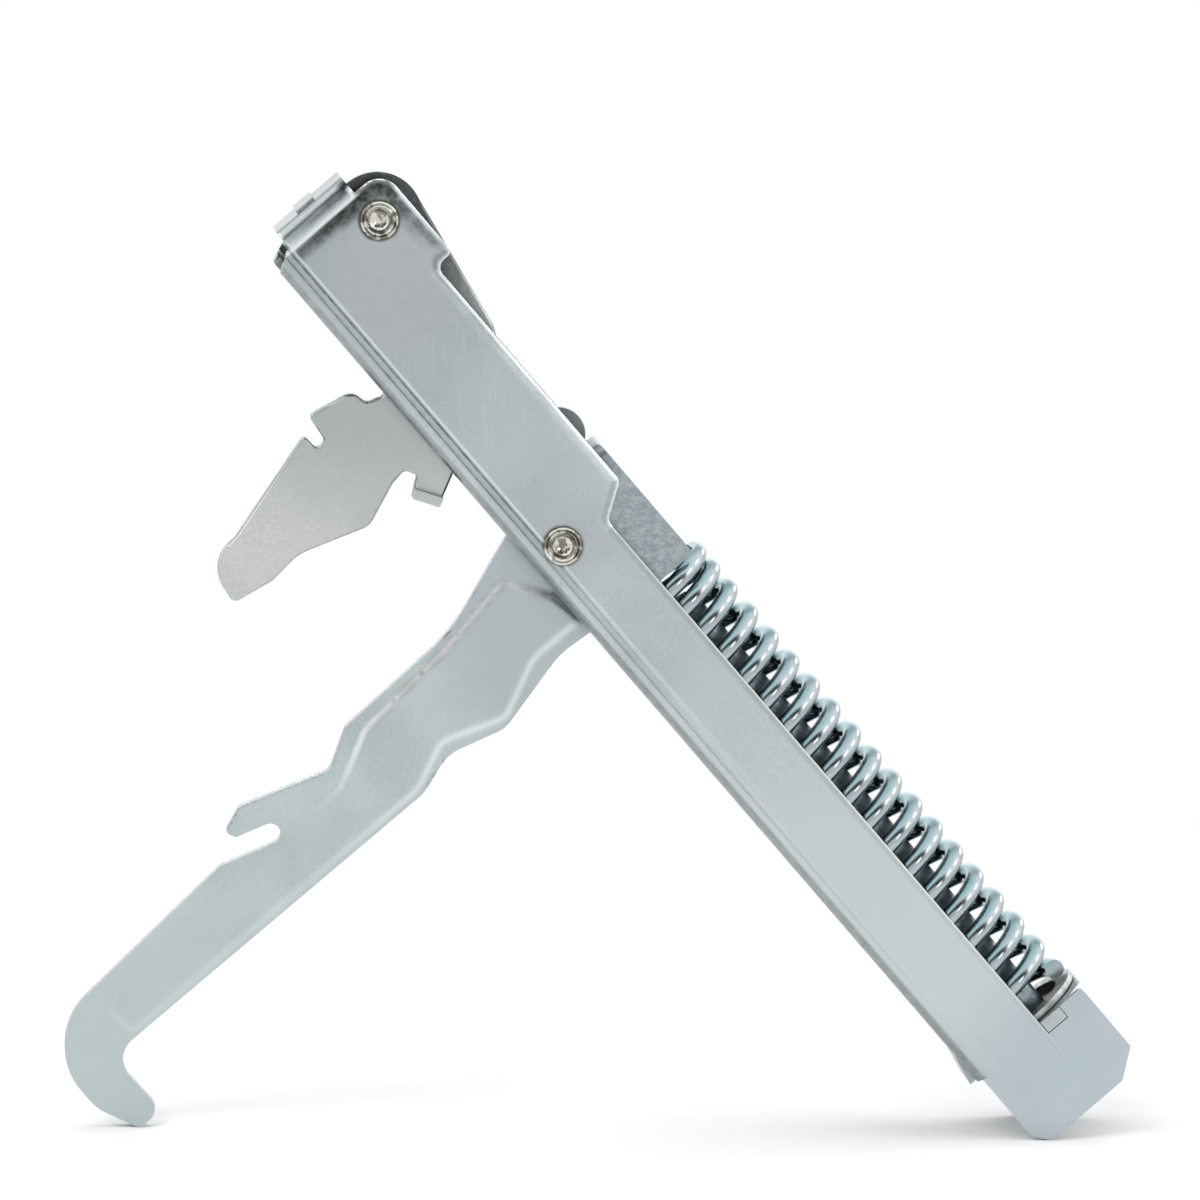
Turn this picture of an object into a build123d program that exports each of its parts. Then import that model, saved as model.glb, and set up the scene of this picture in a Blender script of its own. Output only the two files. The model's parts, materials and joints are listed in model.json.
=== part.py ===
"""Oven door hinge: a pressed channel that sits in the door, a hooked arm that sits in the oven,
a hand lever, and a compression spring that a slider pushes as the door opens.

Every piece is drawn in the channel's own axes: +X runs along the channel from the main pivot
towards the spring, +Y runs through the hinge from one side wall to the other, and +Z points out
of the channel's open side. The last step turns the hinge so that it stands on the toe of its
hook and the foot of its channel, with the middle of its base at the origin. Millimetres."""
from build123d import *
import copy
import math
import os

# Sheet, plate and running gaps
CHANNEL_SHEET = 1.5
CHANNEL_WIDTH = 24.0
CHANNEL_BEND = 2.8
WALL_JOGGLE = 0.8
JOGGLE_SLOPE = 1.2
ARM_PLATE = 3.0
LEVER_PLATE = 3.0
FACE_GAP = 0.1
RUN_GAP = 0.2
CAM_GAP = 0.3
BORE_GAP = 0.05

# Channel, measured from the main pivot
WEB_DROP = 6.3
HEAD_END = 70.3
FOOT_LENGTH = 17.6
WEB_PAST_SEAT = 1.2
HEAD_WALL_TOP = 18.8
MID_WALL_TOP = 15.0
MID_WALL_SLOPE = 4.0
LOW_WALL_TOP = 8.8
HEAD_WALL_LENGTH = 18.8
MID_WALL_END = 2.2
FOOT_WALL_TOP = 18.4
FOOT_WALL_DROP = 5.3
FOOT_TOP_CHAMFER = (3.8, 5.1)
FOOT_LOW_CHAMFER = (3.2, 2.2)
SLOT_WIDTH = 12.0
TAB_LENGTH = 6.0
TAB_WIDTH = 16.0
TAB_FLARE = 1.3
RELIEF_WIDTH = 1.2
FLANGE_BOTTOM = -2.2
FLANGE_TOP = 12.5
FLANGE_REACH = 5.0
FLANGE_BEND = 2.5
FLANGE_RIB = 0.5
FLANGE_RIB_BOTTOM = 2.7
FLANGE_RIB_TOP = 6.5
JOGGLE_TOP = -2.1
JOGGLE_FADE_START = 5.0
JOGGLE_FADE_END = 66.0
CORNER_RELIEF = ((-75.0, -2.3), (-70.9, -2.3), (-69.4, -4.1), (-67.4, -7.0), (-75.0, -9.0))

# Pivots
STAY_PIVOT_X = -64.0
STAY_PIVOT_Z = 12.7
RIVET_RADIUS = 2.5
RIVET_HEAD_RADIUS = 3.35
RIVET_HEAD_HEIGHT = 0.8
RIVET_RIM_WIDTH = 0.55
RIVET_GROOVE_DEPTH = 0.35
RIVET_CUP_RADIUS = 2.3
RIVET_CUP_DEPTH = 1.7
SPACER_RADIUS = 4.3

# Hook arm
NOSE_REACH = 18.5
NOSE_ANGLE = 139.6
NOSE_RADIUS = 4.8
ARM_STOP_X = 16.3
HOOK_SLOT_WIDTH = 3.6
HOOK_SLOT_DEPTH = 7.6
HOOK_SLOT_ANGLE = 72.3
HOOK_SLOT_MOUTH = (2.9, -77.2)
TOE_RADIUS = 1.0
PANEL_RAISE = 0.5
# Where the pressed panel runs out: three points (x, z, height) on each of its two slants
PANEL_UPPER_SLANT = ((2.5, -43.0, 0.42), (17.5, -46.0, 0.42), (8.0, -64.0, 0.0))
PANEL_LOWER_SLANT = ((8.0, -60.0, 0.0), (8.0, -110.0, 0.0), (17.3, -60.0, 0.3))
PANEL_OUTLINE = [
    (-0.8, -12.2, 1.2), (7.5, -7.2, 3.0), (13.2, -6.0, 1.2), (13.1, -17.0, 8.0),
    (17.9, -27.5, 3.0), (13.7, -38.8, 4.0), (17.4, -47.5, 6.0), (17.2, -113.6, 1.6),
    (12.0, -114.2, 1.0), (8.0, -108.0, 2.0), (8.6, -58.0, 8.0), (3.2, -47.5, 5.0),
    (1.8, -28.0, 12.0)]
ARM_TRAVEL = 87.0

ARM_LEFT_EDGE = [
    (-8.0, -2.0, 7.0), (0.1, -25.0, 35.0), (0.7, -50.0, 2.0), (4.7, -57.0, 2.5),
    (-0.8, -73.3, 1.2), (1.0, -78.2, 0.8)]
# From below the slot, round the hook and its toe, and up the right side
ARM_RIGHT_EDGE = [
    (5.0, -82.6, 1.0), (7.6, -127.3, 12.5), (23.5, -127.3, 8.0), (31.2, -123.8, TOE_RADIUS),
    (31.0, -118.9, 2.6), (18.2, -119.2, 4.5), (18.7, -47.2, 8.0), (16.2, -39.5, 8.0),
    (19.4, -28.8, 6.0), (15.6, -13.0, 16.0)]

# Stay lever
LEVER_HUB_RADIUS = 8.0
LEVER_OFFSET = 0.9
LUG_LIP = 2.2
LUG_LIP_HEIGHT = 1.8
LEVER_COIN = 0.4
COINED_TOP = -18.0
COINED_LEFT = -37.6

# From the hub down the right side with its lug, round the tip, and up past the catch
LEVER_OUTLINE = [
    (-34.7, 15.6, 6.0), (-23.0, -3.0, 6.0), (-18.6, -12.0, 0.5), (-22.9, -14.6, 0.5),
    (-25.3, -11.4, 0.5), (-27.4, -12.4, 1.2), (-26.9, -15.6, 4.0), (-23.9, -23.4, 3.5),
    (-28.3, -36.2, 9.0), (-27.7, -42.4, 2.5), (-29.2, -50.3, 1.2), (-37.4, -49.0, 6.0),
    (-37.8, -42.4, 2.5), (-43.5, -21.8, 0.7), (-40.0, -21.6, 0.9), (-40.5, -19.5, 0.9),
    (-45.6, -18.9, 0.9), (-43.9, -10.4, 2.6), (-40.8, -9.9, 1.0), (-39.7, -7.0, 2.0),
    (-43.5, 2.0, 8.0)]

# Slider
SLIDER_SHEET = 1.8
SLIDER_CLEARANCE = 1.1
SLIDER_TOP = 16.45
SLIDER_SHOULDER = 16.3
SLIDER_BEND = 2.6
BRIDGE_BOTTOM = 9.6
CHEEK_FOOT_LENGTH = 9.6
CHEEK_LIFT = 6.2

# Spring, its seat and its guide rod
WIRE = 3.4
COIL_CLEARANCE = 1.0
SPRING_AXIS_Z = 8.6
END_PITCH = 4.0
ACTIVE_TURNS = 17
FIRST_TOP_TURN = 0.22
GRIND = 0.4
SEAT_FACE = 119.8
SEAT_PLATE = 2.4
SEAT_TOP = 19.0
SEAT_TOP_CORNER = 3.0
SEAT_TAB_HEIGHT = 4.4
POCKET_BOTTOM = 8.8
ROD_RADIUS = 3.5
ROD_NECK_RADIUS = 2.5
ROD_LEAD = 5.5
ROD_HEAD_RADIUS = 3.6
ROD_HEAD_HEIGHT = 1.0
FOOT_CORNER_RADIUS = 0.6

# Sizes that follow
wall_out = CHANNEL_WIDTH / 2
wall_in = wall_out - CHANNEL_SHEET
arm_half = ARM_PLATE / 2
swell_out = wall_out + WALL_JOGGLE
swell_in = wall_in + WALL_JOGGLE
slider_half = wall_in - SLIDER_CLEARANCE
coil_radius = wall_in - COIL_CLEARANCE - WIRE / 2
web_out = -WEB_DROP
web_in = web_out + CHANNEL_SHEET
slot_end = ARM_STOP_X + RUN_GAP
nose_x = NOSE_REACH * math.cos(math.radians(NOSE_ANGLE))
nose_z = NOSE_REACH * math.sin(math.radians(NOSE_ANGLE))
slider_front = nose_x + NOSE_RADIUS + CAM_GAP
lever_near = -arm_half - LEVER_OFFSET - LEVER_PLATE
lever_far = lever_near + LEVER_PLATE
spring_start = SLIDER_SHOULDER + RUN_GAP
seat_back = SEAT_FACE + SEAT_PLATE
foot_end = SEAT_FACE + FOOT_LENGTH
web_end = SEAT_FACE + WEB_PAST_SEAT
pocket_top = POCKET_BOTTOM + SEAT_TAB_HEIGHT + 2 * FACE_GAP
pocket_end = seat_back + FACE_GAP
bore_radius = RIVET_RADIUS + BORE_GAP
WIDE = 4 * CHANNEL_WIDTH


def outline(corners):
    """A closed face in the XZ plane: corners are (x, z, radius), with round ones as arcs."""
    edges = []
    count = len(corners)
    ends = []
    for i, (x, z, radius) in enumerate(corners):
        here = Vector(x, 0, z)
        before = Vector(corners[i - 1][0], 0, corners[i - 1][1])
        after = Vector(corners[(i + 1) % count][0], 0, corners[(i + 1) % count][1])
        back = (before - here).normalized()
        on = (after - here).normalized()
        if radius <= 0:
            ends.append((here, here, here))
            continue
        half = back.get_angle(on) / 2
        trim = radius / math.tan(math.radians(half))
        middle = (back + on).normalized()
        reach = radius / math.sin(math.radians(half)) - radius
        ends.append((here + back * trim, here + middle * reach, here + on * trim))
    for i, (start, middle, end) in enumerate(ends):
        if (end - start).length > 1e-6:
            edges.append(ThreePointArc(start, middle, end))
        nxt = ends[(i + 1) % count][0]
        if (nxt - end).length > 1e-6:
            edges.append(Line(end, nxt))
    return Face(Wire(edges))


def plate(face, near, far):
    """The face, drawn in the XZ plane, as a plate from y = near to y = far."""
    return extrude(Pos(0, near, 0) * face, far - near, dir=(0, 1, 0))


def box(x0, x1, y0, y1, z0, z1):
    return Pos((x0 + x1) / 2, (y0 + y1) / 2, (z0 + z1) / 2) * Box(x1 - x0, y1 - y0, z1 - z0)


def cross_pin(x, z, radius, near, far):
    """A round bar along Y, from y = near to y = far."""
    return Pos(x, (near + far) / 2, z) * Rot(90, 0, 0) * Cylinder(radius, far - near)


def turned(x, z, profile):
    """A piece turned about the Y axis at (x, z): profile is a list of (y, radius)."""
    points = [(radius, y, 0) for y, radius in profile]
    return Pos(x, 0, z) * revolve(Face(Wire(Polyline(*points, close=True))), Axis.Y)


def u_section(half, sheet, bend, floor, top):
    """A U section in the YZ plane, open upwards."""
    def filled(reach, level, radius):
        flat = Plane.YZ * Pos(0, (level + top) / 2) * Rectangle(2 * reach, top - level)
        return fillet(flat.vertices().sort_by(Axis.Z)[:2], radius)
    return filled(half, floor, bend) - filled(half - sheet, floor + sheet, bend - sheet)


def wall_outline():
    """The side view of the channel's walls: high at the head, low along the spring, an ear and
    a chamfered foot at the spring's end."""
    notch_x = HEAD_WALL_LENGTH - HEAD_END
    return outline([
        (1.3 - HEAD_END, web_out, 0.5),
        (-HEAD_END, FLANGE_BOTTOM - 0.8, 1.0),
        (-HEAD_END, HEAD_WALL_TOP, 4.0),
        (notch_x, HEAD_WALL_TOP, 1.0),
        (notch_x, MID_WALL_TOP, 1.8),
        (-MID_WALL_END, MID_WALL_TOP, 1.5),
        (MID_WALL_SLOPE - MID_WALL_END, LOW_WALL_TOP, 2.0),
        (pocket_end, LOW_WALL_TOP, 0),
        (pocket_end, pocket_top, 0),
        (SEAT_FACE, pocket_top, 0),
        (SEAT_FACE, FOOT_WALL_TOP, 0.6),
        (foot_end - FOOT_TOP_CHAMFER[0], FOOT_WALL_TOP, 0),
        (foot_end, FOOT_WALL_TOP - FOOT_TOP_CHAMFER[1], 0),
        (foot_end, FOOT_LOW_CHAMFER[1] - FOOT_WALL_DROP, FOOT_CORNER_RADIUS),
        (foot_end - FOOT_LOW_CHAMFER[0], -FOOT_WALL_DROP, 0.5),
        (web_end, -FOOT_WALL_DROP, 0),
        (web_end, web_out, 0)])


def channel():
    """The pressed U channel, its end flange and the flared tab where its web ends."""
    section = u_section(wall_out, CHANNEL_SHEET, CHANNEL_BEND, web_out, HEAD_WALL_TOP + 1)
    trough = extrude(Pos(-HEAD_END, 0, 0) * section, HEAD_END + web_end, dir=(1, 0, 0))
    foot_low = -FOOT_WALL_DROP
    body = trough
    for side in (-1, 1):
        y0, y1 = sorted((side * wall_in, side * wall_out))
        body += box(web_end - 0.01, foot_end, y0, y1, foot_low, FOOT_WALL_TOP)
    body &= plate(wall_outline(), -wall_out, wall_out)
    # Towards the head both walls are pressed out, down to a sloping step near the web
    swell = wall_swell()
    for lump, inward in ((swell, -CHANNEL_SHEET), (mirror(swell, Plane.XZ), CHANNEL_SHEET)):
        body += lump
        body -= Pos(0, inward, 0) * lump
    # The long slot in the web, open at the head, for the arm and the lever
    slot_half = SLOT_WIDTH / 2
    slot = box(-HEAD_END - 2, slot_end, -slot_half, slot_half, web_out - 1, web_in + 1)
    body -= slot
    # The flared tab between two relief cuts
    tab_start = web_end - TAB_LENGTH
    tab_half = TAB_WIDTH / 2
    cut_half = tab_half + RELIEF_WIDTH
    body -= box(tab_start, web_end + 1, -cut_half, cut_half, web_out - 1, web_in + 0.5)
    flare = outline([
        (tab_start - 0.01, web_out, 0), (web_end, web_out - TAB_FLARE, 0),
        (web_end, web_in - TAB_FLARE, 0), (tab_start - 0.01, web_in, 0)])
    body += plate(flare, -tab_half, tab_half)
    body += end_flange()
    relief = outline([(x, z, 0) for x, z in CORNER_RELIEF])
    body -= plate(relief, -WIDE, -slot_half)
    for x, z in ((0, 0), (STAY_PIVOT_X, STAY_PIVOT_Z)):
        body -= cross_pin(x, z, RIVET_RADIUS, -WIDE, WIDE)
    return body


def wall_swell():
    """What pressing adds to the far wall: full height at the head, a sloping step along the
    bottom, and a long run-out towards the spring."""
    step = Plane.YZ * Face(Wire(Polyline(
        (wall_out, JOGGLE_TOP - JOGGLE_SLOPE), (swell_out, JOGGLE_TOP),
        (swell_out, HEAD_WALL_TOP), (wall_out, HEAD_WALL_TOP), close=True)))
    step = extrude(Pos(-HEAD_END, 0, 0) * step, HEAD_END + JOGGLE_FADE_END, dir=(1, 0, 0))
    fade = Face(Wire(Polyline(
        (-HEAD_END, wall_out), (-HEAD_END, swell_out), (JOGGLE_FADE_START, swell_out),
        (JOGGLE_FADE_END, wall_out), close=True)))
    fade = extrude(Pos(0, 0, web_out) * fade, HEAD_WALL_TOP - web_out, dir=(0, 0, 1))
    return step & fade & plate(wall_outline(), wall_out, swell_out)


def end_flange():
    """The flange that closes the channel's head: bent in from the near wall, with one rib."""
    near_out = -swell_out
    near_in = near_out + CHANNEL_SHEET
    face_x = -HEAD_END - FLANGE_BEND - 1.1
    back_x = face_x + CHANNEL_SHEET
    inner = FLANGE_BEND - CHANNEL_SHEET
    turn_x = face_x + FLANGE_BEND
    turn_y = near_out + FLANGE_BEND
    slant = math.sqrt(0.5)
    line = Wire([
        Line((-HEAD_END, near_out), (turn_x, near_out)),
        ThreePointArc((turn_x, near_out),
                      (turn_x - FLANGE_BEND * slant, turn_y - FLANGE_BEND * slant),
                      (face_x, turn_y)),
        Line((face_x, turn_y), (face_x, FLANGE_REACH)),
        Line((face_x, FLANGE_REACH), (back_x, FLANGE_REACH)),
        Line((back_x, FLANGE_REACH), (back_x, turn_y)),
        ThreePointArc((back_x, turn_y), (turn_x - inner * slant, turn_y - inner * slant),
                      (turn_x, near_in)),
        Line((turn_x, near_in), (-HEAD_END, near_in)),
        Line((-HEAD_END, near_in), (-HEAD_END, near_out))])
    height = FLANGE_TOP - FLANGE_BOTTOM
    flange = extrude(Pos(0, 0, FLANGE_BOTTOM) * Face(line), height, dir=(0, 0, 1))
    rib = box(face_x - FLANGE_RIB, face_x, turn_y, FLANGE_REACH, FLANGE_RIB_BOTTOM, FLANGE_RIB_TOP)
    return flange + rib


def arm_corners():
    """The hook arm's outline, down its left edge, round the hook and back up to the pivot."""
    slant = math.radians(HOOK_SLOT_ANGLE)
    along = (math.cos(slant), math.sin(slant))
    mouth_x, mouth_z = HOOK_SLOT_MOUTH
    end_x = mouth_x + HOOK_SLOT_DEPTH * along[0]
    end_z = mouth_z + HOOK_SLOT_DEPTH * along[1]
    round_end = HOOK_SLOT_WIDTH / 2 - 0.02
    far_x = end_x + HOOK_SLOT_WIDTH * along[1]
    far_z = end_z - HOOK_SLOT_WIDTH * along[0]
    return [
        *ARM_LEFT_EDGE, (mouth_x, mouth_z, 0.5),
        (end_x, end_z, round_end), (far_x, far_z, round_end), *ARM_RIGHT_EDGE,
        (ARM_STOP_X, -5.5, 1.0),
        (ARM_STOP_X, -1.0, 4.0), (6.0, 7.5, 5.0), (-7.5, 7.9, 2.5),
        (nose_x + 2.6, nose_z - 4.0, 0), (nose_x, nose_z, 0), (nose_x - 4.3, nose_z - 1.8, 0)]


def hook_arm():
    """The arm that hooks into the oven: one plate, with a raised panel and a cam nose."""
    body = plate(outline(arm_corners()), -arm_half, arm_half)
    body += cross_pin(nose_x, nose_z, NOSE_RADIUS, -arm_half, arm_half)
    press = pressed_panel()
    body += press
    body -= Pos(0, ARM_PLATE, 0) * press
    return body - cross_pin(0, 0, bore_radius, -WIDE, WIDE)


def pressed_panel():
    """The lump that pressing raises on the arm's near face: it runs out towards the hook."""
    lump = plate(outline(PANEL_OUTLINE), -arm_half - PANEL_RAISE, -arm_half)
    under = []
    for slant in (PANEL_UPPER_SLANT, PANEL_LOWER_SLANT):
        a, b, c = [Vector(x, -arm_half - height, z) for x, z, height in slant]
        up = (b - a).cross(c - a)
        up = up if up.Y > 0 else -up
        under.append(lump & Plane(origin=a, z_dir=up) * Pos(0, 0, 2 * WIDE) * Box(
            8 * WIDE, 8 * WIDE, 4 * WIDE))
    return under[0] + under[1]


def stay_lever():
    """The hand lever: a cranked plate with a catch notch, a lug and a coined lower edge."""
    hub_x, hub_z = STAY_PIVOT_X, STAY_PIVOT_Z
    blade = outline([(hub_x + 1.6, hub_z + 7.8, 0), *LEVER_OUTLINE, (hub_x + 5.0, hub_z - 6.4, 0)])
    body = plate(blade, lever_near, lever_far)
    coined = [edge for edge in body.faces().sort_by(Axis.Y)[0].edges()
              if edge.center().Z < COINED_TOP and edge.center().X > COINED_LEFT]
    body = chamfer(coined, LEVER_COIN)
    body += cross_pin(hub_x, hub_z, LEVER_HUB_RADIUS, lever_near, lever_far)
    lip = outline([
        (-18.6, -12.0, 0.3), (-22.9, -14.6, 0.3), (-23.9, -13.1, 0), (-19.4, -10.4, 0)])
    body += plate(lip, lever_near - LUG_LIP, lever_far)
    return body - cross_pin(hub_x, hub_z, bore_radius, -WIDE, WIDE)


def slider():
    """The folded slider: two cheeks that push the spring, and the bridge that the nose pushes."""
    half = slider_half
    length = SLIDER_SHOULDER - slider_front
    section = u_section(half, SLIDER_SHEET, SLIDER_BEND, 0, length)
    standing = extrude(section, SLIDER_TOP - web_in - RUN_GAP, dir=(1, 0, 0))
    body = Pos(slider_front, 0, SLIDER_TOP) * Rot(0, 90, 0) * standing
    side_view = outline([
        (slider_front, CHEEK_LIFT, 2.0), (slider_front, SLIDER_TOP, 0.6),
        (SLIDER_SHOULDER, SLIDER_TOP, 0.3), (SLIDER_SHOULDER, web_in + RUN_GAP, 0.8),
        (SLIDER_SHOULDER - CHEEK_FOOT_LENGTH, web_in + RUN_GAP, 0.8),
        (SLIDER_SHOULDER - CHEEK_FOOT_LENGTH, CHEEK_LIFT, 1.5)])
    body &= plate(side_view, -half, half)
    inside = half - SLIDER_SHEET
    return body - box(slider_front - 1, SLIDER_SHOULDER + 1, -inside, inside, web_in - 1, BRIDGE_BOTTOM)


def biarc(p0, t0, p1, t1):
    """Two tangent arcs from p0, leaving along t0, to p1, arriving along t1."""
    span = p1 - p0
    both = t0 + t1
    spread = 2 * (1 - t0.dot(t1))
    lean = span.dot(both)
    reach = (math.sqrt(lean * lean + spread * span.dot(span)) - lean) / spread
    q0 = p0 + t0 * reach
    q1 = p1 - t1 * reach
    joint = (q0 + q1) * 0.5
    return [TangentArc(p0, joint, tangent=t0), TangentArc(joint, p1, tangent=q1 - q0)]


def coil_point(turn):
    """Where the wire's centre is after so many turns, and the way that it runs there."""
    total = ACTIVE_TURNS + 2
    length = SEAT_FACE - spring_start - 2 * GRIND - FACE_GAP
    pitch = (length - 2 * END_PITCH) / ACTIVE_TURNS
    x = spring_start + GRIND + END_PITCH * min(turn, 1)
    x += pitch * min(max(turn - 1, 0), ACTIVE_TURNS)
    x += END_PITCH * max(turn - total + 1, 0)
    climb = END_PITCH if turn < 1 or turn > total - 1 else pitch
    angle = 2 * math.pi * (turn - FIRST_TOP_TURN)
    place = Vector(x, -coil_radius * math.sin(angle), SPRING_AXIS_Z + coil_radius * math.cos(angle))
    round_step = 2 * math.pi * coil_radius
    way = Vector(climb, -round_step * math.cos(angle), -round_step * math.sin(angle))
    return place, way.normalized()


def spring():
    """The compression spring: one tube on half-turn biarcs, ground flat at both ends."""
    steps = 2 * (ACTIVE_TURNS + 2)
    stops = [coil_point(i / 2) for i in range(steps + 1)]
    edges = []
    for (p0, t0), (p1, t1) in zip(stops, stops[1:]):
        edges += biarc(p0, t0, p1, t1)
    start, way = stops[0]
    tube = sweep(Plane(origin=start, z_dir=way) * Circle(WIRE / 2), path=Wire(edges))
    reach = coil_radius + WIRE
    low, high = SPRING_AXIS_Z - reach, SPRING_AXIS_Z + reach
    return tube & box(spring_start, SEAT_FACE - FACE_GAP, -reach, reach, low, high)


def spring_gap():
    """The least gap of the spring to itself, between points a sixth of a turn or more apart."""
    per_turn = 48
    points = [coil_point(i / per_turn)[0] for i in range((ACTIVE_TURNS + 2) * per_turn + 1)]
    least = WIDE
    for i, here in enumerate(points):
        for there in points[i + per_turn // 6:i + 2 * per_turn]:
            least = min(least, (there - here).length)
    return least - WIRE


def spring_seat():
    """The plate that the spring bears on: its two tabs lie in the pockets of the walls."""
    inside = wall_in - FACE_GAP
    bottom = web_in + RUN_GAP
    body = box(SEAT_FACE, seat_back, -inside, inside, bottom, SEAT_TOP)
    corners = body.edges().filter_by(Axis.X).sort_by(Axis.Z)
    body = chamfer(corners[-2:], SEAT_TOP_CORNER)
    body = chamfer(body.edges().filter_by(Axis.X).sort_by(Axis.Z)[:2], CHANNEL_BEND - CHANNEL_SHEET)
    tab_low = POCKET_BOTTOM + FACE_GAP
    body += box(SEAT_FACE, seat_back, -wall_out, wall_out, tab_low, tab_low + SEAT_TAB_HEIGHT)
    hole = Pos(SEAT_FACE, 0, SPRING_AXIS_Z) * Rot(0, 90, 0) * Cylinder(ROD_NECK_RADIUS, 4 * SEAT_PLATE)
    return body - hole


def guide_rod():
    """The rod inside the spring, staked in the seat, with a tapered free end."""
    tip = spring_start + ROD_LEAD
    taper = ROD_RADIUS * 0.6
    head_back = seat_back + ROD_HEAD_HEIGHT
    points = [
        (tip, 0), (tip, ROD_RADIUS - taper / 2), (tip + taper, ROD_RADIUS), (SEAT_FACE, ROD_RADIUS),
        (SEAT_FACE, ROD_NECK_RADIUS), (seat_back, ROD_NECK_RADIUS), (seat_back, ROD_HEAD_RADIUS),
        (head_back, ROD_HEAD_RADIUS - 0.5), (head_back, 0)]
    profile = Face(Wire(Polyline(*[(x, radius, 0) for x, radius in points], close=True)))
    return Pos(0, 0, SPRING_AXIS_Z) * revolve(profile, Axis.X)


def rivet(x, z):
    """A rivet through both walls. Each head has a rolled rim, a groove and a deep cup."""
    top = swell_out + RIVET_HEAD_HEIGHT
    round_off = RIVET_HEAD_HEIGHT / 3
    groove = RIVET_HEAD_RADIUS - RIVET_RIM_WIDTH
    lip = (groove + RIVET_CUP_RADIUS) / 2
    side = [
        (swell_out, RIVET_RADIUS), (swell_out, RIVET_HEAD_RADIUS),
        (top - round_off, RIVET_HEAD_RADIUS), (top, RIVET_HEAD_RADIUS - round_off),
        (top - RIVET_GROOVE_DEPTH, groove), (top, lip), (top - round_off, RIVET_CUP_RADIUS),
        (top - RIVET_CUP_DEPTH * 0.7, RIVET_CUP_RADIUS * 0.7), (top - RIVET_CUP_DEPTH, 0)]
    mirrored = [(-y, radius) for y, radius in reversed(side)]
    return turned(x, z, side + mirrored)


def spacer(x, z, near, far):
    """A tube on a rivet that keeps a plate at its place between the walls."""
    return cross_pin(x, z, SPACER_RADIUS, near, far) - cross_pin(x, z, bore_radius, -WIDE, WIDE)


def spacer_pair(x, z, near_face, far_face):
    """The two tubes of a rivet, each notched to clear its wall's step and bend near the web."""
    step_in = wall_in - (CHANNEL_BEND - CHANNEL_SHEET)
    near = spacer(x, z, -swell_in, near_face - FACE_GAP)
    near -= box(x - WIDE, x + WIDE, -WIDE, -step_in, -WIDE, JOGGLE_TOP)
    far = spacer(x, z, far_face + FACE_GAP, swell_in)
    far -= box(x - WIDE, x + WIDE, step_in, WIDE, -WIDE, JOGGLE_TOP)
    return Compound(children=[near, far])


def stance():
    """The turn about +Y, in degrees, that sets the hook's toe and the channel's foot level."""
    def lowest(face, turn):
        down = Vector(math.sin(turn), 0, -math.cos(turn))
        points = [edge.position_at(i / 12) for edge in face.edges() for i in range(13)]
        return max(point.dot(down) for point in points)
    arm, walls = outline(arm_corners()), wall_outline()
    low, high = math.radians(20), math.radians(80)
    for _ in range(40):
        middle = (low + high) / 2
        if lowest(arm, middle) > lowest(walls, middle):
            low = middle
        else:
            high = middle
    return math.degrees(low)


pieces = {
    "channel": channel(),
    "hook_arm": hook_arm(),
    "stay_lever": stay_lever(),
    "slider": slider(),
    "spring": spring(),
    "spring_seat": spring_seat(),
    "guide_rod": guide_rod(),
    "main_rivet": rivet(0, 0),
    "stay_rivet": rivet(STAY_PIVOT_X, STAY_PIVOT_Z),
    "main_spacers": spacer_pair(0, 0, -arm_half, arm_half),
    "stay_spacers": spacer_pair(STAY_PIVOT_X, STAY_PIVOT_Z, lever_near, lever_far)}

turn = stance()
stood = {name: Rot(0, turn, 0) * piece for name, piece in pieces.items()}
whole = Compound(children=[copy.copy(piece) for piece in stood.values()]).bounding_box()
shift = Vector(-whole.center().X, -whole.center().Y, -whole.min.Z)

os.makedirs("parts", exist_ok=True)
for name, piece in stood.items():
    export_step(Pos(*shift) * piece, f"parts/{name}.step")

print("Turned about +Y by, degrees:", round(turn, 3))
print("Main pivot stands at, mm:", [round(v, 4) for v in shift])
print("Overall size, mm:", [round(v, 2) for v in whole.size])
print("Spring's least gap to itself, mm:", round(spring_gap(), 2))
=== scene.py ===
"""Oven door hinge: the finished look of its plated sheet, spring, rivets and rod, as an add-on.

Each piece starts from its CAD solid, gets the edges and bends that the press left, and a finish
made from how its surface was made: zinc plated, oiled, greased, punched or peened. Painted shade
and painted highlights lie on top of some finishes."""
import json
import math

import bmesh
import bpy
from mathutils import Matrix, Vector, kdtree


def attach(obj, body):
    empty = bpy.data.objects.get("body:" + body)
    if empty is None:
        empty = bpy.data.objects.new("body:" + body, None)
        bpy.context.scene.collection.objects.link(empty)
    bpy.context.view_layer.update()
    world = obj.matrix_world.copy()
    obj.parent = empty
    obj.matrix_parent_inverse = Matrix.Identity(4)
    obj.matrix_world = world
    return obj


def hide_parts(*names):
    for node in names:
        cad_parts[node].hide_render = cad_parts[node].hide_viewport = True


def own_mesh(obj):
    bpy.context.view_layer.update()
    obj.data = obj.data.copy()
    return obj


bl_info = {
    "name": "Oven door hinge",
    "version": (1, 0, 0),
    "blender": (4, 5, 0),
    "location": "3D View > Sidebar > Hinge",
    "description": "Builds the visible pieces and finishes of an oven door hinge on its CAD frame",
    "category": "Object",
}

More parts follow.
